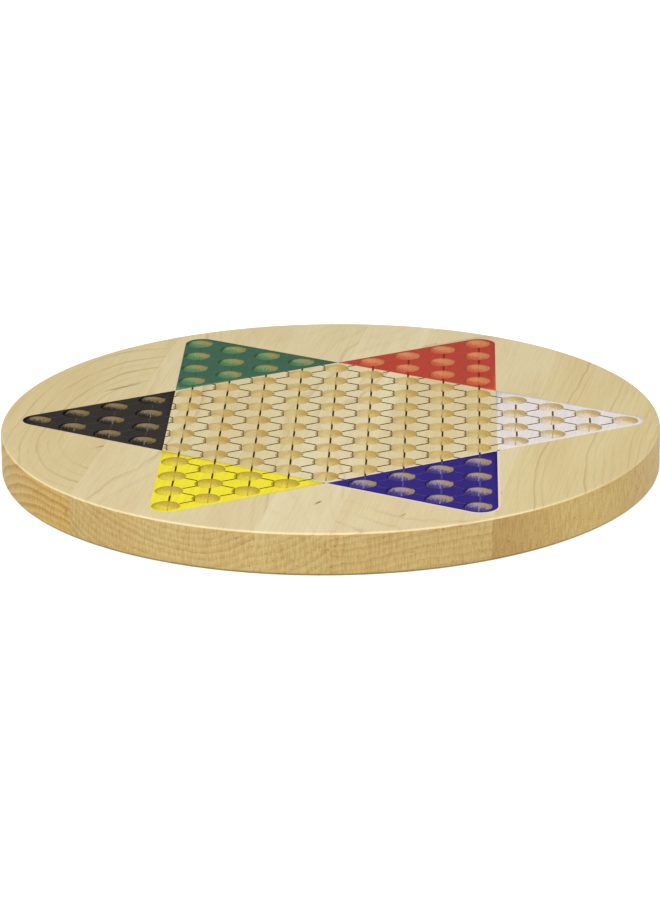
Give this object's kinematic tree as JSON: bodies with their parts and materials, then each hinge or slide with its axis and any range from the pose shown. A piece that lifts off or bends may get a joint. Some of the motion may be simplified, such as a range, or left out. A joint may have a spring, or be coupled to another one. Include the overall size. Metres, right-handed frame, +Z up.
{
  "type": "chinese checkers board",
  "caption": "Round wooden Chinese checkers board with ball-shaped marble seats in a six-pointed star and a coloured point for each player.",
  "frame": {"origin": "centre of the flat underside, on the surface that the board stands on", "axes": "+Z up through the playing face, +X from the black point to the white point, +Y from the player between yellow and blue to the far side"},
  "size_m": [0.394, 0.394, 0.0254],
  "materials": {
    "maple": "sanded and sealed, satin",
    "ink_white": "thin printed colour, satin",
    "ink_red": "thin printed colour, satin",
    "ink_green": "thin printed colour, satin",
    "ink_black": "thin printed colour, satin",
    "ink_yellow": "thin printed colour, satin",
    "ink_blue": "thin printed colour, satin"
  },
  "bodies": {
    "root": {"stave_1": "maple", "stave_2": "maple", "stave_3": "maple", "stave_4": "maple", "stave_5": "maple", "point_white": "ink_white", "point_red": "ink_red", "point_green": "ink_green", "point_black": "ink_black", "point_yellow": "ink_yellow", "point_blue": "ink_blue"}
  },
  "joints": []
}
